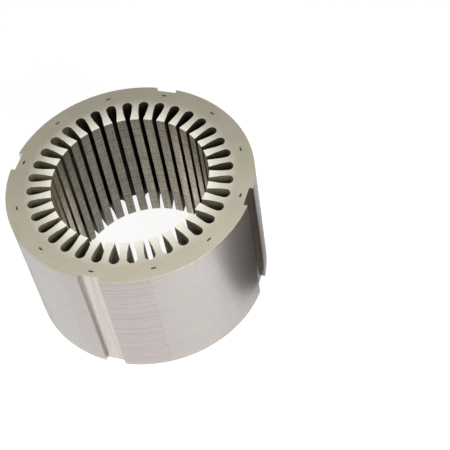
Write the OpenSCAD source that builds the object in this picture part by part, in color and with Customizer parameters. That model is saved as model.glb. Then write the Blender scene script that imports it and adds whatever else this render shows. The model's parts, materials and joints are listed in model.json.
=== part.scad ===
// Stator core of a small generator: a round stack of punched steel sheets.
// The core stands on its lower face, with the origin at the centre of that face and +Z along its axis.
// One winding slot, one notch and one interlock lie on the +X axis, and each pattern repeats from there.

/* [Punching] */
// Outside diameter of the core
core_d = 260; // [250:1:300]
// Diameter of the bore, measured over the tooth faces
bore_d = 165; // [150:1:172]
// Width of the ring behind the slots, which holds the teeth together
yoke_w = 22; // [18:0.5:30]

/* [Stack] */
// Thickness of one sheet
sheet_t = 0.5; // [0.35:0.05:1]
// Number of sheets pressed together in one packet
packet_sheets = 14; // [8:1:24]
// Number of packets between the two end sheets
packet_count = 22; // [16:1:40]

/* [Slots] */
// Number of winding slots
slot_count = 36; // [30:6:42]
// Width of a tooth, whose two sides are parallel
tooth_w = 7.25; // [6.5:0.05:8]
// Width of a slot's mouth in the bore wall
mouth_w = 4.9; // [3:0.1:5.4]
// Thickness of a tooth's tip beside the mouth
tip_t = 0.9; // [0.5:0.1:1.5]
// Slope of a slot's two shoulders, measured from the bore wall
shoulder_angle = 79; // [65:1:85]

/* [Notches] */
// Number of flat-bottomed notches along the outside
notch_count = 4; // [2:1:6]
// Width of a notch
notch_w = 22; // [10:0.5:30]
// Depth of a notch at its middle
notch_depth = 4.8; // [2:0.1:6]

/* [Interlocks] */
// Number of V-shaped interlocks in each sheet
lock_count = 12; // [4:1:24]
// Length of an interlock round the core
lock_l = 5; // [3:0.1:8]
// Width of an interlock along the radius
lock_w = 2; // [1:0.1:3]
// Gap round an interlock's tongue in the recess that takes it
lock_gap = 0.05; // [0.02:0.01:0.1]

/* [Hidden] */
function packet_name(i) = str("sheet_packet_", i < 10 ? "0" : "", i);
$fn = 96;

core_r = core_d / 2;
bore_r = bore_d / 2;
packet_h = packet_sheets * sheet_t;
stack_h = packet_count * packet_h + 2 * sheet_t;
cut = 1;

// Each slot side keeps half a tooth's width from the line through the middle of the next tooth
half_pitch = 180 / slot_count;
function half_width(r) = r * tan(half_pitch) - tooth_w / 2 / cos(half_pitch);

// The two sides would meet in a point, and the round bottom touches both of them
sides_meet_r = tooth_w / 2 / sin(half_pitch);
slot_end_r = core_r - yoke_w;
round_at = (slot_end_r + tooth_w / 2) / (1 + sin(half_pitch));
round_r = slot_end_r - round_at;

// The shoulders run from the mouth out to the slot sides, and stop past the round bottom
tip_r = bore_r + tip_t;
shoulder_end_r = slot_end_r + cut;
shoulder_end_w = mouth_w / 2 + (shoulder_end_r - tip_r) / tan(shoulder_angle);

// The interlocks stand in the middle of the ring behind the slots. A tongue is a little shallower
// than a sheet, so the recess over it stays in the sheet and none shows below the lower face
lock_r = core_r - yoke_w / 2;
lock_depth = sheet_t - 2 * lock_gap;

// Space between two teeth out to the round bottom, as wide there as the parallel tooth sides leave it
module tooth_gap() {
    touch = [round_at - round_r * sin(half_pitch), round_r * cos(half_pitch)];
    polygon([[sides_meet_r, 0], [touch.x, -touch.y], touch]);
    translate([round_at, 0]) circle(r = round_r);
}

// Outline of a slot: its mouth, then the space between the teeth as far as the shoulders leave it open
module slot_outline() {
    translate([bore_r - cut, -mouth_w / 2]) square([cut + 2 * tip_t, mouth_w]);
    intersection() {
        tooth_gap();
        polygon([
            [tip_r, -mouth_w / 2], [shoulder_end_r, -shoulder_end_w],
            [shoulder_end_r, shoulder_end_w], [tip_r, mouth_w / 2]]);
    }
}

module notch_outline() {
    translate([core_r - notch_depth, -notch_w / 2]) square([notch_depth + cut, notch_w]);
}

// Outline that one stroke of the die gives every sheet
module punching() {
    difference() {
        circle(r = core_r);
        circle(r = bore_r);
        for (i = [0 : slot_count - 1]) rotate(i * 360 / slot_count) slot_outline();
        for (i = [0 : notch_count - 1]) rotate(i * 360 / notch_count) notch_outline();
    }
}

// Copies its children at every interlock
module at_locks() {
    for (i = [0 : lock_count - 1]) rotate(i * 360 / lock_count) translate([lock_r, 0, 0]) children();
}

// V-shaped tongue under z = 0: deepest at the middle of its length, with upright sheared sides
module lock_tongue(gap = 0) {
    half_l = lock_l / 2 + gap;
    translate([-lock_w / 2 - gap, 0, 0])
        rotate([90, 0, 90])
            linear_extrude(lock_w + 2 * gap)
                polygon([[-half_l, 0], [0, -lock_depth - gap], [half_l, 0]]);
}

// Sheets pressed into one packet, with recesses in the upper face and tongues under the lower one
module packet_body(h) {
    difference() {
        linear_extrude(h) punching();
        translate([0, 0, h]) at_locks() lock_tongue(lock_gap);
    }
    at_locks() lock_tongue();
}

// Lowest sheet: windows in place of tongues, so that the lower face stays flat
module bottom_end_sheet() {
    window = [lock_w + 2 * lock_gap, lock_l + 2 * lock_gap];
    color("#8f8d84")
        linear_extrude(sheet_t)
            difference() {
                punching();
                at_locks() square(window, center = true);
            }
}

module sheet_packet(i) {
    color("#a9a8a3") translate([0, 0, sheet_t + (i - 1) * packet_h]) packet_body(packet_h);
}

// Uppermost sheet, whose recesses show on the top face
module top_end_sheet() {
    color("#beb9a5") translate([0, 0, stack_h - sheet_t]) packet_body(sheet_t);
}

bottom_end_sheet();
for (i = [1 : packet_count]) sheet_packet(i);
top_end_sheet();
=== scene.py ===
"""Looks of a generator's stator core: a stack of punched steel sheets on a white studio floor."""

import json
import logging
import math
import random
from collections.abc import Iterable
from dataclasses import dataclass
from enum import Enum

import bmesh
import bpy
from mathutils import Matrix, Vector


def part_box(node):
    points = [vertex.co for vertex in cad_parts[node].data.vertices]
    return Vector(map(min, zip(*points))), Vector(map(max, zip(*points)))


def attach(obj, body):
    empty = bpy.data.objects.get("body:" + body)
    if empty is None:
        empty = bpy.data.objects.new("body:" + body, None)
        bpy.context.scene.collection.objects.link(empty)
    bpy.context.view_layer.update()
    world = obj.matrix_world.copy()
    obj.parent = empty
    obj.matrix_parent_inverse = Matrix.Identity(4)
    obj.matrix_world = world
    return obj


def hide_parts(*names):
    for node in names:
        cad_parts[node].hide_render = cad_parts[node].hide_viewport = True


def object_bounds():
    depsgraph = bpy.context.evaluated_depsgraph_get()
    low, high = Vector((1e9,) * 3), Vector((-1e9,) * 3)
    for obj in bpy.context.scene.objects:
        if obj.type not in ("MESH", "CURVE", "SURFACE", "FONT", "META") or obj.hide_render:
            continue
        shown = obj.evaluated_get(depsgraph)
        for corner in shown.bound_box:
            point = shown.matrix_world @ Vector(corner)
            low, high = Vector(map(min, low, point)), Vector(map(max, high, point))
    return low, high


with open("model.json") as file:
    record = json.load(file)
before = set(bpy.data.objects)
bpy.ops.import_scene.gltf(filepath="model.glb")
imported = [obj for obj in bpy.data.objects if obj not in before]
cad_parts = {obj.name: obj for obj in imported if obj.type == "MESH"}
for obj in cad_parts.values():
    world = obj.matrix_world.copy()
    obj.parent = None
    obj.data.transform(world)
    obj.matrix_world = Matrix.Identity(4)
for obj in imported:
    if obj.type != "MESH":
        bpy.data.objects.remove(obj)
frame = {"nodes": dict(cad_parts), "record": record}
CAD_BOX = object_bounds()

LOG = logging.getLogger("stator_core")
BODY = "root"
MOUNTS = {mount["name"]: mount for mount in frame["record"]["mounts"]}
MM = 0.001
# Thickness of one sheet
SHEET = 0.5 * MM
# Points closer than this are one
WELD = 0.001 * MM
# A face is flat where its normal has more of Z than this, and upright elsewhere
FLAT = 0.5
# Most values of a noise lie between these two
NOISE_LOW, NOISE_HIGH = 0.25, 0.75


def linear(colour: str) -> tuple[float, float, float, float]:
    """Turn an sRGB hex colour to linear red, green, blue and alpha.

    Args:
        colour: Six hex digits after a hash.

    Returns:
        The linear colour, opaque.
    """
    parts = [int(colour[at:at + 2], 16) / 255 for at in (1, 3, 5)]
    red, green, blue = (c / 12.92 if c <= 0.04045 else ((c + 0.055) / 1.055) ** 2.4 for c in parts)
    return red, green, blue, 1.0


def add_node(
        tree: bpy.types.NodeTree, kind: str, inputs: dict | None = None,
        **settings) -> bpy.types.Node:
    """Add a shader node with its settings and links.

    Args:
        tree: Tree that takes the node.
        kind: Last part of the node's class name, after ShaderNode.
        inputs: Value, or output socket to link, for each input by name or number.
        settings: Attributes of the node itself.

    Returns:
        The new node.
    """
    made = tree.nodes.new("ShaderNode" + kind)
    for name, value in settings.items():
        setattr(made, name, value)
    for key, value in (inputs or {}).items():
        if isinstance(value, bpy.types.NodeSocket):
            tree.links.new(value, made.inputs[key])
        else:
            made.inputs[key].default_value = value
    return made


def empty_material(name: str) -> bpy.types.Material:
    """Make a material whose node tree is empty.

    Args:
        name: Name of the material.

    Returns:
        The new material.
    """
    made = bpy.data.materials.new(name)
    made.use_nodes = True
    made.node_tree.nodes.clear()
    return made


def to_mesh(bm: bmesh.types.BMesh, name: str) -> bpy.types.Mesh:
    """Turn a bmesh into a mesh.

    Args:
        bm: Mesh to turn, freed here.
        name: Name of the new mesh.

    Returns:
        The new mesh.
    """
    mesh = bpy.data.meshes.new(name)
    bm.to_mesh(mesh)
    bm.free()
    return mesh


def add_object(name: str, data: bpy.types.ID) -> bpy.types.Object:
    """Put a new object into the scene, at the origin.

    Args:
        name: Name of the object.
        data: Mesh, camera or light that it shows.

    Returns:
        The new object.
    """
    made = bpy.data.objects.new(name, data)
    bpy.context.scene.collection.objects.link(made)
    return made


class Surface(Enum):
    """Kind of surface on a sheet, and its material slot."""

    FACE = 0
    OUTSIDE = 1
    NOTCH = 2
    SLOT = 3
    TOOTH = 4
    RECESS = 5
    JOINT = 6


@dataclass(frozen=True)
class ArcSteps:
    """Number of straight steps along each arc of one slot pitch.

    Attributes:
        outside: Steps along the outside.
        tooth: Steps along a tooth face in the bore.
        slot_bottom: Steps along half a slot's round bottom.
    """

    outside: int
    tooth: int
    slot_bottom: int


class Pen:
    """Draws one closed outline in a bmesh, a line or an arc at a time."""

    def __init__(self, bm: bmesh.types.BMesh, start: Vector) -> None:
        """Start the outline.

        Args:
            bm: Mesh to draw in.
            start: First point, in the plane z = 0.
        """
        self.bm = bm
        self.first = self.last = bm.verts.new(start.to_3d())
        self.edges: list[bmesh.types.BMEdge] = []

    def lines(self, points: Iterable[Vector]) -> None:
        """Draw straight lines.

        Args:
            points: Points to go through, in order.
        """
        for point in points:
            end = self.bm.verts.new(point.to_3d())
            self.edges.append(self.bm.edges.new((self.last, end)))
            self.last = end

    def arc(self, centre: Vector, angle: float, steps: int) -> None:
        """Draw an arc.

        Args:
            centre: Middle of the arc's circle.
            angle: Angle to turn through, anticlockwise.
            steps: Number of straight steps.
        """
        before = set(self.bm.edges)
        made = bmesh.ops.spin(
            self.bm, geom=[self.last], cent=centre.to_3d(), axis=(0, 0, 1), angle=angle,
            steps=steps)
        self.last = next(g for g in made["geom_last"] if isinstance(g, bmesh.types.BMVert))
        self.edges += [edge for edge in self.bm.edges if edge not in before]

    def close(self) -> None:
        """Join the end to the start and fill the outline with one face."""
        self.edges.append(self.bm.edges.new((self.last, self.first)))
        bmesh.ops.contextual_create(self.bm, geom=self.edges)


@dataclass(frozen=True)
class Punching:
    """Outline that one stroke of the die gives every sheet. Lengths are in metres.

    Attributes:
        core_r: Radius of the outside.
        bore_r: Radius of the tooth faces.
        yoke_w: Width of the ring behind the slots.
        slots: Number of slots.
        tooth_w: Width of a tooth, whose two sides are parallel.
        mouth_w: Width of a slot's mouth.
        tip_t: Thickness of a tooth's tip beside the mouth.
        shoulder_angle: Slope of a slot's shoulders from the bore wall, in radians.
        notches: Number of notches in the outside.
        notch_w: Width of a notch.
        notch_depth: Depth of a notch at its middle.
        locks: Number of interlocks.
        lock_l: Length of an interlock round the core.
        lock_w: Width of an interlock along the radius.
    """

    core_r: float
    bore_r: float
    yoke_w: float = 22 * MM
    slots: int = 36
    tooth_w: float = 7.25 * MM
    mouth_w: float = 4.9 * MM
    tip_t: float = 0.9 * MM
    shoulder_angle: float = math.radians(79)
    notches: int = 4
    notch_w: float = 22 * MM
    notch_depth: float = 4.8 * MM
    locks: int = 12
    lock_l: float = 5 * MM
    lock_w: float = 2 * MM

    @property
    def half_pitch(self) -> float:
        """Angle from the middle of a slot to the middle of the next tooth."""
        return math.pi / self.slots

    @property
    def slot_end_r(self) -> float:
        """Radius of the slot bottoms."""
        return self.core_r - self.yoke_w

    @property
    def round_at(self) -> float:
        """Distance out to the middle of a slot's round bottom, which touches both slot sides."""
        return (self.slot_end_r + self.tooth_w / 2) / (1 + math.sin(self.half_pitch))

    @property
    def lock_r(self) -> float:
        """Radius of the interlocks, in the middle of the ring behind the slots."""
        return self.core_r - self.yoke_w / 2

    def has_lock(self, slot: int) -> bool:
        """Tell whether an interlock lies behind a slot.

        Args:
            slot: Number of the slot, counted from the X axis.

        Returns:
            True if one does.
        """
        return slot % (self.slots // self.locks) == 0

    def has_notch(self, slot: int) -> bool:
        """Tell whether a notch lies behind a slot.

        Args:
            slot: Number of the slot, counted from the X axis.

        Returns:
            True if one does.
        """
        return slot % (self.slots // self.notches) == 0

    def slot_side(self) -> list[Vector]:
        """Find one side of a slot on the X axis, from its round bottom in to the bore.

        Returns:
            The corners: the end of the round, the end of the shoulder, and the two of the tip.
        """
        half, mouth = self.half_pitch, self.mouth_w / 2
        round_r, tip_r = self.slot_end_r - self.round_at, self.bore_r + self.tip_t
        slope, apart = 1 / math.tan(self.shoulder_angle), self.tooth_w / 2 / math.cos(half)
        corner_r = (tip_r * slope - apart - mouth) / (slope - math.tan(half))
        return [
            Vector((self.round_at - round_r * math.sin(half), round_r * math.cos(half))),
            Vector((corner_r, corner_r * math.tan(half) - apart)),
            Vector((tip_r, mouth)),
            Vector((math.sqrt(self.bore_r ** 2 - mouth ** 2), mouth))]

    def lock_side(self) -> list[Vector]:
        """Find half an interlock behind a slot on the X axis.

        Returns:
            The corners, from the inner one on the axis to the outer one on it.
        """
        end = self.lock_l / 2
        inner, outer = self.lock_r - self.lock_w / 2, self.lock_r + self.lock_w / 2
        return [
            Vector((inner, 0)), Vector((inner, end)), Vector((outer, end)), Vector((outer, 0))]

    def back(self, slot: int, locked: bool) -> list[Vector]:
        """Find what lies behind half a slot on the X axis, from its bottom out to the outside.

        Args:
            slot: Number of the slot, which tells what lies behind it.
            locked: True to go round the interlock.

        Returns:
            The corners.
        """
        corners = self.lock_side() if locked and self.has_lock(slot) else []
        if not self.has_notch(slot):
            return [*corners, Vector((self.core_r, 0))]
        floor, side = self.core_r - self.notch_depth, self.notch_w / 2
        rim = math.sqrt(self.core_r ** 2 - side ** 2)
        return [*corners, Vector((floor, 0)), Vector((floor, side)), Vector((rim, side))]

    def _draw_tooth(
            self, bm: bmesh.types.BMesh, slot: int, steps: ArcSteps, locked: bool) -> None:
        """Draw one tooth and its share of the ring, from the X axis to the middle of the next slot.

        Args:
            bm: Mesh to draw in.
            slot: Number of the slot before the tooth.
            steps: Steps along the arcs.
            locked: True to draw each half interlock as a face of its own.
        """
        pitch, bottom = 2 * self.half_pitch, math.pi / 2 + self.half_pitch
        turn, axis = Matrix.Rotation(pitch, 2), Vector((0, 0))
        middle, side = Vector((self.round_at, 0)), self.slot_side()
        near, far = self.back(slot, locked), self.back(slot + 1, locked)
        tooth_angle = pitch - 2 * math.asin(self.mouth_w / 2 / self.bore_r)
        outside_angle = sum(math.atan2(end[-1].y, end[-1].x) for end in (near, far)) - pitch

        def across(points: Iterable[Vector]) -> list[Vector]:
            """Mirror points from this slot to the next."""
            return [turn @ Vector((point.x, -point.y)) for point in points]

        pen = Pen(bm, Vector((self.slot_end_r, 0)))
        pen.arc(middle, bottom, steps.slot_bottom)
        pen.lines(side[1:])
        pen.arc(axis, tooth_angle, steps.tooth)
        pen.lines(across(reversed(side[:-1])))
        pen.arc(turn @ middle, bottom, steps.slot_bottom)
        pen.lines(across(far))
        pen.arc(axis, outside_angle, steps.outside)
        pen.lines(reversed(near[:-1]))
        pen.close()
        halves = []
        if locked and self.has_lock(slot):
            halves.append(self.lock_side())
        if locked and self.has_lock(slot + 1):
            halves.append(across(self.lock_side()))
        for corners in halves:
            lock = Pen(bm, corners[0])
            lock.lines(corners[1:])
            lock.close()

    def flat(self, steps: ArcSteps, locked: bool = False) -> bmesh.types.BMesh:
        """Lay out the whole punching as flat faces at z = 0.

        Args:
            steps: Steps along the arcs.
            locked: True to give each interlock two faces of its own.

        Returns:
            A new bmesh.
        """
        bm = bmesh.new()
        for slot in range(self.slots // self.notches):
            before = set(bm.verts)
            self._draw_tooth(bm, slot, steps, locked)
            new = [vert for vert in bm.verts if vert not in before]
            turn = Matrix.Rotation(slot * 2 * self.half_pitch, 3, "Z")
            bmesh.ops.rotate(bm, verts=new, matrix=turn)
        bmesh.ops.spin(
            bm, geom=[*bm.verts, *bm.edges, *bm.faces], axis=(0, 0, 1), steps=self.notches - 1,
            angle=2 * math.pi * (self.notches - 1) / self.notches, use_duplicate=True)
        bmesh.ops.remove_doubles(bm, verts=bm.verts, dist=WELD)
        return bm

    def lock_faces(self, bm: bmesh.types.BMesh) -> list[bmesh.types.BMFace]:
        """Find the flat faces that interlocks have of their own.

        Args:
            bm: Mesh to look in.

        Returns:
            The faces, two to an interlock.
        """
        found = []
        for face in bm.faces:
            off = [abs(math.hypot(vert.co.x, vert.co.y) - self.lock_r) for vert in face.verts]
            if abs(face.normal.z) > FLAT and max(off) < self.lock_w:
                found.append(face)
        return found

    def solid(
            self, steps: ArcSteps, low: float, high: float, locked: bool = False,
            windows: bool = False) -> bmesh.types.BMesh:
        """Give the punching its thickness.

        Args:
            steps: Steps along the arcs.
            low: Height of the lower face.
            high: Height of the upper face.
            locked: True to give each interlock two faces of its own.
            windows: True to cut a window through at each interlock.

        Returns:
            A new closed bmesh whose faces point outwards and hold their surface's slot.
        """
        bm = self.flat(steps, locked or windows)
        if windows:
            bmesh.ops.delete(bm, geom=self.lock_faces(bm), context="FACES")
        bmesh.ops.translate(bm, verts=bm.verts, vec=(0, 0, low))
        made = bmesh.ops.extrude_face_region(bm, geom=bm.faces)
        top = [g for g in made["geom"] if isinstance(g, bmesh.types.BMVert)]
        bmesh.ops.translate(bm, verts=top, vec=(0, 0, high - low))
        bmesh.ops.recalc_face_normals(bm, faces=bm.faces)
        self.sort_surfaces(bm)
        return bm

    def sort_surfaces(self, bm: bmesh.types.BMesh) -> None:
        """Set each face's material slot from where it lies and which way it points.

        Args:
            bm: Mesh of one sheet.
        """
        outside_r = self.core_r - self.notch_depth / 8
        for face in bm.faces:
            centre = face.calc_center_median()
            radius = math.hypot(centre.x, centre.y)
            if abs(face.normal.z) > FLAT:
                surface = Surface.FACE
            elif radius > outside_r:
                surface = Surface.OUTSIDE
            elif radius > self.lock_r + self.lock_w:
                surface = Surface.NOTCH
            elif radius < self.bore_r + WELD:
                surface = Surface.TOOTH
            else:
                surface = Surface.SLOT
            face.material_index = surface.value


def around_one(
        tree: bpy.types.NodeTree, noise: bpy.types.NodeSocket,
        depth: float) -> bpy.types.NodeSocket:
    """Spread a noise around 1, to multiply a colour with.

    Args:
        tree: Tree that takes the node.
        noise: Noise whose values crowd round one half.
        depth: How far the result goes from 1.

    Returns:
        The factor.
    """
    spread = add_node(tree, "MapRange", {
        "Value": noise, "From Min": NOISE_LOW, "From Max": NOISE_HIGH,
        "To Min": 1 - depth, "To Max": 1 + depth})
    return spread.outputs[0]


@dataclass(frozen=True)
class CoatedFace:
    """Flat face of silicon steel sheet under the thin insulating coat that is rolled on and baked.

    The coat gives a satin khaki grey with faint clouds. Towards the bore the colour is painted pale
    and more metallic, a painted sheen over the narrow teeth, and the sheen's edge wanders out
    towards the ring.

    Attributes:
        name: Name of the material.
        coat: Colour of the coat.
        sheen_colour: Colour of the painted sheen towards the bore.
        inner_r: Radius out to which the painted sheen is full.
        outer_r: Radius from which no sheen is painted.
        sheen_wander: How far the sheen's edge strays from those radii.
        cloud: Size of the coat's clouds.
        cloud_depth: How far a cloud's tone goes from 1.
        grit: Size of the coat's grain.
        grit_height: Height of the grain.
        grit_strength: How much of that height the light shows.
        sheen_metallic: How metallic the surface is where the painted sheen is full.
        roughness: Roughness of both.
        gloss: Specular level of the coat.
    """

    name: str = "coated_silicon_steel"
    coat: str = "#c7c0ac"
    sheen_colour: str = "#f7f4e6"
    inner_r: float = 84 * MM
    outer_r: float = 112 * MM
    sheen_wander: float = 4 * MM
    cloud: float = 30 * MM
    cloud_depth: float = 0.07
    grit: float = 0.8 * MM
    grit_height: float = 0.02 * MM
    grit_strength: float = 0.05
    sheen_metallic: float = 0.6
    roughness: float = 0.5
    gloss: float = 0.25

    def material(self) -> bpy.types.Material:
        """Make the finish.

        Returns:
            The material.
        """
        made = empty_material(self.name)
        tree = made.node_tree
        where = add_node(tree, "TexCoord").outputs["Object"]
        flat = add_node(tree, "VectorMath", {0: where, 1: (1, 1, 0)}, operation="MULTIPLY")
        radius = add_node(tree, "VectorMath", {0: flat.outputs[0]}, operation="LENGTH")
        wander_noise = add_node(tree, "TexNoise", {
            "Vector": where, "Scale": 1 / (2 * self.sheen_wander), "Detail": 3})
        edge = add_node(
            tree, "Math", {0: wander_noise.outputs[0], 1: 2 * self.sheen_wander, 2: radius.outputs["Value"]},
            operation="MULTIPLY_ADD")
        # Painted sheen: paler colour towards the bore, over the narrow teeth
        sheen_mask = add_node(tree, "MapRange", {
            "Value": edge.outputs[0], "From Min": self.inner_r + self.sheen_wander,
            "From Max": self.outer_r + self.sheen_wander, "To Min": 1, "To Max": 0})
        clouds = add_node(tree, "TexNoise", {"Vector": where, "Scale": 1 / self.cloud, "Detail": 5})
        base = add_node(tree, "Mix", {
            0: sheen_mask.outputs[0], 6: linear(self.coat), 7: linear(self.sheen_colour)}, data_type="RGBA")
        shade = add_node(tree, "VectorMath", {
            0: base.outputs[2], 1: around_one(tree, clouds.outputs[0], self.cloud_depth)},
            operation="MULTIPLY")
        grain = add_node(tree, "TexNoise", {"Vector": where, "Scale": 1 / self.grit, "Detail": 2})
        bump = add_node(tree, "Bump", {
            "Height": grain.outputs[0], "Strength": self.grit_strength,
            "Distance": self.grit_height})
        # The painted sheen is more metallic too
        bare = add_node(
            tree, "Math", {0: sheen_mask.outputs[0], 1: self.sheen_metallic}, operation="MULTIPLY")
        shader = add_node(tree, "BsdfPrincipled", {
            "Base Color": shade.outputs[0], "Metallic": bare.outputs[0],
            "Roughness": self.roughness, "Specular IOR Level": self.gloss,
            "Normal": bump.outputs[0]})
        add_node(tree, "OutputMaterial", {0: shader.outputs[0]})
        return made


@dataclass(frozen=True)
class CutEdges:
    """Sheared edges of stacked silicon steel sheets: bare metal, a tone of its own for every sheet.

    The die leaves streaks along the axis, and each stretch round the core takes a tone of its own;
    on the slots and notches that tone is painted shade, set by where each stretch stands. The
    rounded edges of the sheets draw the gloss out along the axis. Lines of single sheets are too
    fine to show in a picture of the whole core, so bands of a few sheets and a coarse grain stand
    for them beside the single tones.

    Attributes:
        name: Name of the material.
        colour: Colour of a pale stretch.
        tint: Colour of a dark stretch, which on slots and notches is painted shade.
        sheet: Thickness of a sheet.
        tone: How far one sheet's tone goes from 1, as do the other depths here.
        band: Height of the bands.
        band_depth: Depth of the bands' tone.
        band_full: Stretch tone up to which the bands show in full.
        band_none: Stretch tone from which none shows.
        waver: How far the bands stray up and down.
        streak: Width of a streak.
        streak_length: Length of a streak.
        streak_depth: Depth of the streaks' tone.
        grain: Size of the grain.
        grain_depth: Depth of the grain's tone.
        patch: Size of the patches between the two colours.
        mottle: Share of the patches in the choice of colour, beside the stretch's tone.
        stretch: Angle of one stretch round the core, in radians.
        stretch_seed: Where the row of stretches starts.
        stretch_depth: Depth of the stretches' tone.
        stretch_blend: How softly one stretch goes over into the next.
        seam_depth: How much darker the seam between two stretches is.
        seam_width: Half width of that seam, as a share of a stretch.
        roughness: Roughness of the metal.
        anisotropy: How far the gloss is drawn out along the axis.
        metallic: How metallic the surface is.
        gloss: Specular level of what isn't metal.
    """

    name: str
    colour: str
    tint: str
    sheet: float = SHEET
    tone: float = 0.03
    band: float = 2.7 * MM
    band_depth: float = 0.06
    band_full: float = 0.1
    band_none: float = 0.5
    waver: float = 1.0 * MM
    streak: float = 1.5 * MM
    streak_length: float = 60 * MM
    streak_depth: float = 0.03
    grain: float = 1.2 * MM
    grain_depth: float = 0.02
    patch: float = 16 * MM
    mottle: float = 0.4
    stretch: float = math.radians(23.5)
    stretch_seed: float = 59.5
    stretch_depth: float = 0.015
    stretch_blend: float = 0.1
    seam_depth: float = 0.0
    seam_width: float = 0.018
    roughness: float = 0.42
    anisotropy: float = 0.5
    metallic: float = 1.0
    gloss: float = 0.5

    def material(self) -> bpy.types.Material:
        """Make the finish.

        Returns:
            The material.
        """
        made = empty_material(self.name)
        tree = made.node_tree
        where = add_node(tree, "TexCoord").outputs["Object"]
        place = add_node(tree, "SeparateXYZ", {0: where}).outputs
        count = add_node(tree, "Math", {0: place["Z"], 1: self.sheet}, operation="DIVIDE")
        whole = add_node(tree, "Math", {0: count.outputs[0]}, operation="FLOOR")
        sheets = add_node(tree, "TexWhiteNoise", {"W": whole.outputs[0]}, noise_dimensions="1D")
        drawn = add_node(tree, "Mapping", {
            "Vector": where, "Scale": (1 / self.streak, 1 / self.streak, 1 / self.streak_length)})
        streaks = add_node(tree, "TexNoise", {"Vector": drawn.outputs[0], "Scale": 1, "Detail": 3})
        grains = add_node(tree, "TexNoise", {"Vector": where, "Scale": 1 / self.grain, "Detail": 1})
        patches = add_node(tree, "TexNoise", {
            "Vector": where, "Scale": 1 / self.patch, "Detail": 2})
        waver = add_node(
            tree, "Math", {0: patches.outputs[0], 1: self.waver, 2: place["Z"]},
            operation="MULTIPLY_ADD")
        bands = add_node(
            tree, "TexNoise", {"W": waver.outputs[0], "Scale": 1 / self.band},
            noise_dimensions="1D")
        # Tone of each stretch round the core; on the slots and notches it is painted shade
        angle = add_node(tree, "Math", {0: place["Y"], 1: place["X"]}, operation="ARCTAN2")
        along = add_node(
            tree, "Math", {0: angle.outputs[0], 1: 1 / self.stretch, 2: self.stretch_seed},
            operation="MULTIPLY_ADD")
        cells = add_node(
            tree, "TexVoronoi",
            {"W": along.outputs[0], "Scale": 1, "Smoothness": self.stretch_blend},
            voronoi_dimensions="1D", feature="SMOOTH_F1")
        die = add_node(tree, "SeparateColor", {0: cells.outputs["Color"]}).outputs[0]
        ends = add_node(
            tree, "TexVoronoi", {"W": along.outputs[0], "Scale": 1},
            voronoi_dimensions="1D", feature="DISTANCE_TO_EDGE")
        seam = add_node(tree, "MapRange", {
            "Value": ends.outputs["Distance"], "From Max": self.seam_width,
            "To Min": 1 - self.seam_depth, "To Max": 1})
        smooth = add_node(tree, "MapRange", {
            "Value": die, "From Min": self.band_full, "From Max": self.band_none})
        banded = add_node(tree, "Mix", {
            0: smooth.outputs[0], 2: around_one(tree, bands.outputs[0], self.band_depth), 3: 1})
        product = add_node(
            tree, "Math", {0: banded.outputs[0], 1: seam.outputs[0]}, operation="MULTIPLY")
        for noise, depth in (
                (sheets.outputs["Value"], self.tone), (streaks.outputs[0], self.streak_depth),
                (grains.outputs[0], self.grain_depth), (die, self.stretch_depth)):
            product = add_node(
                tree, "Math", {0: product.outputs[0], 1: around_one(tree, noise, depth)},
                operation="MULTIPLY")
        mottled = add_node(tree, "Mix", {0: self.mottle, 2: die, 3: patches.outputs[0]})
        mixed = add_node(tree, "Mix", {
            0: mottled.outputs[0], 6: linear(self.tint), 7: linear(self.colour)}, data_type="RGBA")
        shade = add_node(
            tree, "VectorMath", {0: mixed.outputs[2], 1: product.outputs[0]}, operation="MULTIPLY")
        axis = add_node(tree, "CombineXYZ", {"Z": 1})
        shader = add_node(tree, "BsdfPrincipled", {
            "Base Color": shade.outputs[0], "Metallic": self.metallic,
            "Roughness": self.roughness, "Specular IOR Level": self.gloss,
            "Anisotropic": self.anisotropy, "Tangent": axis.outputs[0]})
        add_node(tree, "OutputMaterial", {0: shader.outputs[0]})
        return made


def make_finishes() -> dict[Surface, bpy.types.Material]:
    """Make the finish of every kind of surface.

    Returns:
        The material of each surface.
    """
    return {
        # Faces under the baked coat: satin khaki grey, with a painted sheen that turns the teeth
        # pale
        Surface.FACE: CoatedFace().material(),
        # Outside: satin grey, a tone of its own along each stretch round the core, a little pink
        # along some stretches
        Surface.OUTSIDE: CutEdges(
            "sheared_silicon_steel_outside", "#b6b4b0", "#b6adaa", tone=0.05, band_depth=0.1,
            grain_depth=0.03, seam_depth=0.08).material(),
        # Notches: glossy, with strong streaks. Each notch takes a tone of its own from where it
        # stands, pale at -Y and dark at +X: painted reflection and shade
        Surface.NOTCH: CutEdges(
            "sheared_silicon_steel_notch", "#cdc5c1", "#766e68", streak=3 * MM,
            streak_length=150 * MM, streak_depth=0.2, mottle=0.1, stretch=math.radians(45),
            stretch_seed=154.9, roughness=0.28).material(),
        # Slot walls: oily steel, a dull olive darkened as painted shade of the deep slots, and near
        # black along one stretch round the bore, painted shade set by where the slots stand
        Surface.SLOT: CutEdges(
            "oily_shaded_silicon_steel_slot", "#7a745c", "#28231a", tone=0.1, band_depth=0.2, mottle=0.1,
            stretch=math.radians(70), stretch_seed=153.7, stretch_depth=0.2, stretch_blend=0.3,
            roughness=0.5, metallic=0.3, gloss=0.2).material(),
        # Tooth faces in the bore: brownish, coarse grain and strong streaks
        Surface.TOOTH: CutEdges(
            "sheared_silicon_steel_tooth", "#b5ab97", "#9c978c", tone=0.2, band_depth=0.15,
            streak=1.1 * MM, streak_length=25 * MM, streak_depth=0.3, grain_depth=0.35,
            stretch=math.radians(54), stretch_seed=53.65, stretch_depth=0.35,
            stretch_blend=0.4).material(),
        # Interlocks, half sheared and half bent, with oil left in them: dark and dull, the dark
        # partly painted shade of the pits
        Surface.RECESS: CutEdges(
            "oily_shaded_silicon_steel_recess", "#544f3c", "#48432f", metallic=0.6).material(),
        # Coat between two sheets, dark because hardly any light gets into a joint
        Surface.JOINT: CoatedFace("coated_silicon_steel_joint", "#3a372f", "#2f2c25").material(),
    }


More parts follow.
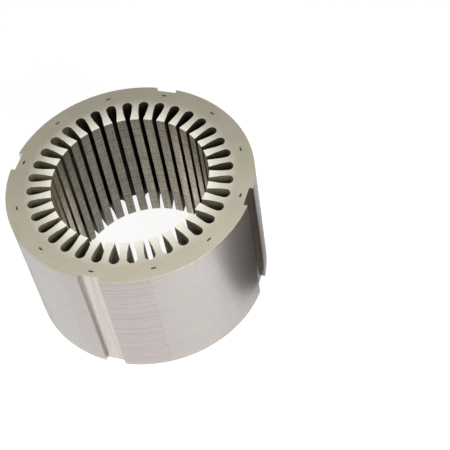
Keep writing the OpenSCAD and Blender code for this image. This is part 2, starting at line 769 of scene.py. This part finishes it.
@dataclass
class SheetPile:
    """The stack of punched sheets: packets of like sheets between two end sheets.

    Attributes:
        punching: Outline of every sheet.
        finishes: Material of each kind of surface.
        sheet: Thickness of a sheet.
        gap: Height of the joint between two sheets.
        slip: How far a sheet may slip along X and along Y.
        twist: How far a sheet may turn, in radians.
        lock_depth: Depth of an interlock's V.
        edge_round: Radius of the uppermost sheet's upper edges.
        edge_steps: Steps across that round.
        sharp_angle: Angle between two faces from which their edge is sharp.
        packet_steps: Steps along the arcs of a packet's sheets.
        end_steps: Steps along the arcs of the end sheets.
        seed: Start of the draw of slips and turns.
    """

    punching: Punching
    finishes: dict[Surface, bpy.types.Material]
    sheet: float = SHEET
    gap: float = 0.03 * MM
    slip: float = 0.02 * MM
    twist: float = math.radians(0.015)
    lock_depth: float = 0.4 * MM
    edge_round: float = 0.3 * MM
    edge_steps: int = 2
    sharp_angle: float = math.radians(32)
    packet_steps: ArcSteps = ArcSteps(outside=4, tooth=2, slot_bottom=3)
    end_steps: ArcSteps = ArcSteps(outside=8, tooth=6, slot_bottom=8)
    seed: int = 36

    def __post_init__(self) -> None:
        """Start the draw of how each sheet slipped when the stack was pressed."""
        self.draw = random.Random(self.seed)

    def _finish(self, bm: bmesh.types.BMesh, name: str, node: str) -> None:
        """Turn a bmesh into a dressed piece that stands for a CAD node.

        Args:
            bm: Mesh in the part's frame, freed here.
            name: Name of the piece.
            node: CAD node that the piece stands for.
        """
        mesh = to_mesh(bm, name)
        for surface in Surface:
            mesh.materials.append(self.finishes[surface])
        mesh.shade_smooth()
        mesh.set_sharp_from_angle(angle=self.sharp_angle)
        level = (Surface.FACE.value, Surface.JOINT.value)
        for polygon in mesh.polygons:
            polygon.use_smooth = polygon.material_index not in level
        piece = add_object(name, mesh)
        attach(piece, BODY)
        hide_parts(node)
        LOG.info("%s: %d faces", name, len(mesh.polygons))

    def _press(self, bm: bmesh.types.BMesh, locks: list[bmesh.types.BMFace], keep: bool) -> None:
        """Press the flat faces of interlocks down to a V, deepest at the middle of its length.

        Args:
            bm: Sheet, or interlock faces alone.
            locks: The interlock faces, two to an interlock.
            keep: True to leave the flat faces over the V.
        """
        before = set(bm.faces)
        made = bmesh.ops.extrude_face_region(bm, geom=locks, use_keep_orig=True)["geom"]
        pitch = 2 * math.pi / self.punching.locks
        middle = self.punching.lock_l / 8
        for vert in (g for g in made if isinstance(g, bmesh.types.BMVert)):
            angle = math.atan2(vert.co.y, vert.co.x)
            off = (angle - pitch * round(angle / pitch)) * self.punching.lock_r
            if abs(off) < middle:
                vert.co.z -= self.lock_depth
        for face in bm.faces:
            if face not in before:
                face.material_index = Surface.RECESS.value
        if not keep:
            bmesh.ops.delete(bm, geom=locks, context="FACES_ONLY")
        bmesh.ops.remove_doubles(bm, verts=bm.verts, dist=WELD)

    def plain_sheet(self) -> bpy.types.Mesh:
        """Make the mesh that every sheet of the packets repeats.

        It is small enough to slip and turn and still stay in the core.

        Returns:
            The mesh, on z = 0.
        """
        bm = self.punching.solid(self.packet_steps, self.gap / 2, self.sheet - self.gap / 2)
        room = self.slip + self.twist * self.punching.notch_w
        fit = 1 - room / self.punching.core_r
        bmesh.ops.scale(bm, verts=bm.verts, vec=(fit, fit, 1))
        for face in bm.faces:
            if face.material_index == Surface.FACE.value:
                face.material_index = Surface.JOINT.value
        return to_mesh(bm, "plain_sheet")

    def tongues(self) -> bpy.types.Mesh:
        """Make the V-shaped tongues of one sheet, one at each interlock.

        Returns:
            The mesh, which hangs under z = 0.
        """
        bm = self.punching.flat(self.packet_steps, locked=True)
        locks = self.punching.lock_faces(bm)
        rest = [face for face in bm.faces if face not in set(locks)]
        bmesh.ops.delete(bm, geom=rest, context="FACES")
        self._press(bm, locks, keep=True)
        bmesh.ops.recalc_face_normals(bm, faces=bm.faces)
        return to_mesh(bm, "tongues")

    def packet(self, node: str, sheets: bpy.types.Mesh, tongues: bpy.types.Mesh) -> None:
        """Stack one packet, each sheet slipped and turned by a hair.

        Args:
            node: CAD node of the packet.
            sheets: One plain sheet that lies on z = 0.
            tongues: Tongues that hang under z = 0.
        """
        low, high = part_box(node)
        count = math.floor((high.z - low.z + WELD) / self.sheet)
        bottom = high.z - count * self.sheet
        bm = bmesh.new()
        bm.from_mesh(tongues)
        bmesh.ops.translate(bm, verts=bm.verts, vec=(0, 0, bottom + self.gap / 2))
        for index in range(count):
            before = len(bm.verts)
            bm.from_mesh(sheets)
            bm.verts.ensure_lookup_table()
            new = bm.verts[before:]
            slip = Vector([self.draw.uniform(-self.slip, self.slip) for _ in range(2)])
            turn = Matrix.Rotation(self.draw.uniform(-self.twist, self.twist), 3, "Z")
            bmesh.ops.rotate(bm, verts=new, matrix=turn)
            bmesh.ops.translate(
                bm, verts=new, vec=(slip.x, slip.y, bottom + index * self.sheet))
        self._finish(bm, node.replace("sheet_packet", "laminations"), node)

    @staticmethod
    def _on_rim(edge: bmesh.types.BMEdge, height: float) -> bool:
        """Tell whether an edge runs along a cut, at the top of it.

        Args:
            edge: Edge of a sheet.
            height: Height of the sheet's upper face.

        Returns:
            True if it does. The edges of recesses don't.
        """
        level = all(abs(vert.co.z - height) < WELD for vert in edge.verts)
        surfaces = {face.material_index for face in edge.link_faces} - {Surface.RECESS.value}
        return level and surfaces not in ({Surface.FACE.value}, set())

    def top_end(self, node: str) -> None:
        """Make the uppermost sheet, with its pressed interlocks and rounded upper edges.

        Args:
            node: CAD node of the sheet.
        """
        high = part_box(node)[1].z
        bm = self.punching.solid(self.end_steps, high - self.sheet, high, locked=True)
        faces = self.punching.lock_faces(bm)
        upper = [face for face in faces if face.calc_center_median().z > high - WELD]
        self._press(bm, upper, keep=False)
        rim = [edge for edge in bm.edges if self._on_rim(edge, high)]
        bmesh.ops.bevel(
            bm, geom=rim, offset=self.edge_round, offset_type="OFFSET", segments=self.edge_steps,
            profile=0.5, affect="EDGES", material=-1)
        self._finish(bm, "uppermost_sheet", node)

    def bottom_end(self, node: str) -> None:
        """Make the lowest sheet, which has windows where the others have tongues.

        Args:
            node: CAD node of the sheet.
        """
        low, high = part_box(node)
        bm = self.punching.solid(self.end_steps, low.z, high.z, windows=True)
        self._finish(bm, "lowest_sheet", node)

    def build(self) -> None:
        """Make every sheet of the stack."""
        sheets, tongues = self.plain_sheet(), self.tongues()
        for node in sorted(frame["nodes"]):
            if node.startswith("sheet_packet"):
                self.packet(node, sheets, tongues)
        self.top_end("top_end_sheet")
        self.bottom_end("bottom_end_sheet")


@dataclass(frozen=True)
class Viewpoint:
    """The picture's camera, found from the rims and slots of the core.

    Attributes:
        focal_px: Focal length in pixels.
        image_px: Side of the square picture in pixels.
        sensor: Width of the camera's sensor, in Blender's millimetres.
        elevation: How far the camera looks down, in radians.
        turn: Angle of the camera round the core, in radians.
        roll: Turn of the picture, in radians.
        top_centre_px: Where the middle of the core's top face lies in the picture.
        distance: Depth of that point in front of the camera, in metres.
    """

    focal_px: float = 1141.8
    image_px: float = 450
    sensor: float = 36.0
    elevation: float = math.radians(52.1)
    turn: float = math.radians(23.5)
    roll: float = math.radians(9.93)
    top_centre_px: tuple[float, float] = (129.5, 178.5)
    distance: float = 1.177

    def make(self, target: Vector) -> None:
        """Make the scene's camera.

        Args:
            target: Middle of the core's top face.
        """
        ahead = Vector((0, math.cos(self.elevation), -math.sin(self.elevation)))
        right = Vector((1, 0, 0))
        down = ahead.cross(right)
        spin = Matrix.Rotation(self.roll, 3, ahead)
        turn = Matrix.Rotation(self.turn, 3, "Z")
        right, down, ahead = (turn @ (spin @ axis) for axis in (right, down, ahead))
        across, below = ((px - self.image_px / 2) / self.focal_px for px in self.top_centre_px)
        data = bpy.data.cameras.new("camera")
        data.sensor_width = self.sensor
        data.lens = self.focal_px / self.image_px * self.sensor
        camera = add_object("camera", data)
        place = target - self.distance * (ahead + across * right + below * down)
        camera.matrix_world = Matrix((
            (right.x, -down.x, -ahead.x, place.x),
            (right.y, -down.y, -ahead.y, place.y),
            (right.z, -down.z, -ahead.z, place.z),
            (0, 0, 0, 1)))
        bpy.context.scene.camera = camera


@dataclass(frozen=True)
class Lamp:
    """One square soft lamp.

    Attributes:
        name: Name of the lamp.
        place: Where it hangs, in metres.
        power: Its power in watts.
        size: Length of its side in metres.
    """

    name: str
    place: tuple[float, float, float]
    power: float
    size: float = 0.35

    def hang(self, aim: Vector) -> None:
        """Hang the lamp.

        Args:
            aim: Point that it faces.
        """
        data = bpy.data.lights.new(self.name, "AREA")
        data.shape, data.size, data.energy = "SQUARE", self.size, self.power
        lamp = add_object(self.name, data)
        lamp.location = self.place
        lamp.rotation_euler = (aim - Vector(self.place)).to_track_quat("-Z", "Y").to_euler()
        lamp.visible_camera = False


@dataclass(frozen=True)
class Studio:
    """White floor, white surroundings, soft lamps, and a dark flag that only the gloss shows.

    Attributes:
        floor_size: Side of the square floor in metres, as all lengths here.
        floor_colour: Colour of the floor's paper.
        floor_glow: Light that the paper adds where it is seen, to look white.
        fade_from: Distance from the core's axis where the paper starts to fade to plain white.
        fade_to: Distance where it is plain white.
        world_light: Light of the surroundings on the scene.
        flag_colour: Colour of the flag.
        flag_glow: Light that the flag adds.
        flag_foot_r: Radius of the flag's foot.
        flag_r: Radius of its upper end.
        flag_h: Its height.
        flag_steps: Number of its sides.
        flag_place: Where it stands on the floor.
        lamps: The soft lamps.
    """

    floor_size: float = 8.0
    floor_colour: str = "#a8a8a8"
    floor_glow: float = 0.9
    fade_from: float = 0.25
    fade_to: float = 0.7
    world_light: float = 0.1
    flag_colour: str = "#8e8c86"
    flag_glow: float = 0.12
    flag_foot_r: float = 0.093
    flag_r: float = 0.079
    flag_h: float = 0.155
    flag_steps: int = 64
    flag_place: tuple[float, float] = (0.230, 0.025)
    lamps: tuple[Lamp, ...] = (
        Lamp("key", (0.48, -0.34, 0.45), 4.1), Lamp("fill", (-0.42, -0.50, 0.48), 2.2))

    @staticmethod
    def _stand(
            bm: bmesh.types.BMesh, name: str, material: bpy.types.Material) -> bpy.types.Object:
        """Turn a bmesh into a piece of the studio.

        Args:
            bm: Mesh of the piece, freed here.
            name: Name of the piece.
            material: Its material.

        Returns:
            The new object.
        """
        mesh = to_mesh(bm, name)
        mesh.materials.append(material)
        made = add_object(name, mesh)
        return made

    @staticmethod
    def _seen(tree: bpy.types.NodeTree) -> bpy.types.NodeSocket:
        """Tell the rays that show a surface from those that only bring its light.

        Args:
            tree: Tree that takes the nodes.

        Returns:
            1 for rays from the camera, from a gloss or through glass, and 0 for the rest.
        """
        path = add_node(tree, "LightPath").outputs
        two = add_node(
            tree, "Math", {0: path["Is Camera Ray"], 1: path["Is Glossy Ray"]}, operation="MAXIMUM")
        three = add_node(
            tree, "Math", {0: two.outputs[0], 1: path["Is Transmission Ray"]}, operation="MAXIMUM")
        return three.outputs[0]

    def floor(self) -> None:
        """Lay the floor: pale paper that takes the core's shadow and fades to white far from it."""
        made = empty_material("white_floor")
        tree = made.node_tree
        seen = self._seen(tree)
        paper = add_node(tree, "BsdfDiffuse", {"Color": linear(self.floor_colour)})
        glow = add_node(tree, "Math", {0: seen, 1: self.floor_glow}, operation="MULTIPLY")
        lit = add_node(tree, "Emission", {"Strength": glow.outputs[0]})
        near = add_node(tree, "AddShader", {0: paper.outputs[0], 1: lit.outputs[0]})
        far = add_node(tree, "Emission", {"Strength": seen})
        where = add_node(tree, "TexCoord").outputs["Object"]
        away = add_node(tree, "VectorMath", {0: where}, operation="LENGTH")
        fade = add_node(tree, "MapRange", {
            "Value": away.outputs["Value"], "From Min": self.fade_from, "From Max": self.fade_to},
            interpolation_type="SMOOTHSTEP")
        both = add_node(
            tree, "MixShader", {0: fade.outputs[0], 1: near.outputs[0], 2: far.outputs[0]})
        add_node(tree, "OutputMaterial", {0: both.outputs[0]})
        bm = bmesh.new()
        bmesh.ops.create_grid(bm, x_segments=1, y_segments=1, size=self.floor_size / 2)
        self._stand(bm, "floor", made)

    def flag(self) -> None:
        """Stand the dark flag beside the core, to shade the right-hand side of its outside."""
        made = empty_material("dark_flag")
        tree = made.node_tree
        colour = linear(self.flag_colour)
        dark = add_node(tree, "BsdfDiffuse", {"Color": colour})
        lift = add_node(tree, "Emission", {"Color": colour, "Strength": self.flag_glow})
        both = add_node(tree, "AddShader", {0: dark.outputs[0], 1: lift.outputs[0]})
        add_node(tree, "OutputMaterial", {0: both.outputs[0]})
        bm = bmesh.new()
        bmesh.ops.create_cone(
            bm, segments=self.flag_steps, radius1=self.flag_foot_r, radius2=self.flag_r,
            depth=self.flag_h, cap_ends=True,
            matrix=Matrix.Translation((*self.flag_place, self.flag_h / 2)))
        flag = self._stand(bm, "flag", made)
        flag.visible_camera = flag.visible_diffuse = False
        flag.visible_shadow = flag.visible_transmission = False

    def world(self) -> None:
        """Surround the scene with white, at the light's own level for rays that only light."""
        world = bpy.data.worlds.new("studio")
        world.use_nodes = True
        tree = world.node_tree
        tree.nodes.clear()
        white = linear("#ffffff")
        light = add_node(tree, "Background", {"Color": white, "Strength": self.world_light})
        shown = add_node(tree, "Background", {"Color": white, "Strength": 1})
        mix = add_node(
            tree, "MixShader", {0: self._seen(tree), 1: light.outputs[0], 2: shown.outputs[0]})
        add_node(tree, "OutputWorld", {0: mix.outputs[0]})
        bpy.context.scene.world = world

    def build(self, aim: Vector) -> None:
        """Make the floor, the surroundings, the flag and the lamps.

        Args:
            aim: Point that the lamps face.
        """
        self.floor()
        self.world()
        self.flag()
        for lamp in self.lamps:
            lamp.hang(aim)
        bpy.context.scene.view_settings.view_transform = "Standard"


def main() -> None:
    """Build the core and its studio."""
    logging.basicConfig(level=logging.INFO, format="%(name)s: %(message)s")
    punching = Punching(
        core_r=MOUNTS["frame_seat"]["dims"]["r_mm"] * MM,
        bore_r=MOUNTS["bore"]["dims"]["r_mm"] * MM)
    SheetPile(punching, make_finishes()).build()
    low, high = CAD_BOX
    Viewpoint().make(Vector((0, 0, high.z)))
    Studio().build((low + high) / 2)


if __name__ == "__main__":
    main()
